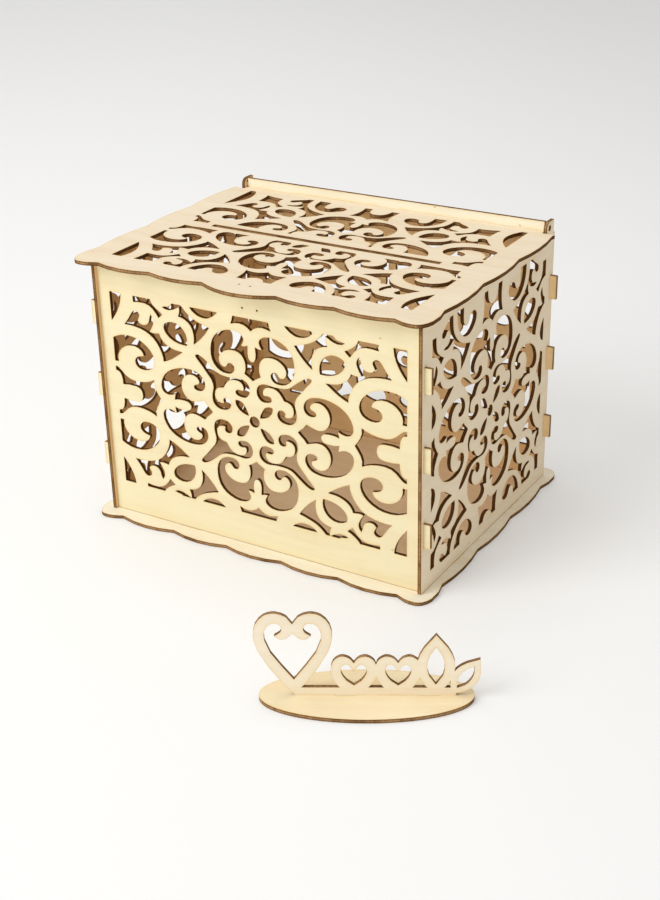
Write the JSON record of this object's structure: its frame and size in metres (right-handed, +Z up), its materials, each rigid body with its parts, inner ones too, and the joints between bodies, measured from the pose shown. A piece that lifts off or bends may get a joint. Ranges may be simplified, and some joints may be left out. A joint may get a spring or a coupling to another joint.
{
  "type": "wedding card box",
  "caption": "Flat-pack plywood card box with scrolled fretwork walls, a slotted lid on a rail hinge, and a small scroll sign on an oval foot.",
  "frame": {"origin": "centre of the box's foot: the middle of the base plate's underside, on the table; the sign doesn't move it", "axes": "+Z up, the front panel and the lid's free edge face -Y, +X to the right seen from the front"},
  "size_m": [0.4078, 0.4267, 0.2396],
  "materials": {
    "ply_base": "satin",
    "ply_walls": "satin",
    "ply_sides": "satin",
    "ply_lid": "satin",
    "ply_sign": "satin"
  },
  "bodies": {
    "box": {"base_plate": "ply_base", "front_panel": "ply_walls", "back_panel": "ply_walls", "left_side_panel": "ply_sides", "right_side_panel": "ply_sides"},
    "lid": {"lid_panel": "ply_lid", "hinge_rail": "ply_lid"},
    "sign": {"sign_plinth": "ply_base", "sign_ornament": "ply_sign"}
  },
  "joints": [
    {"name": "lid_hinge", "type": "hinge", "parent": "box", "child": "lid", "pos_m": [0, 0.1065, 0.2341], "axis": [-1, 0, 0], "range_deg": [0, 150]},
    {"name": "sign_lift", "type": "slide", "parent": "box", "child": "sign", "axis": [0, 0, 1], "range_m": [0, 0.15]}
  ]
}
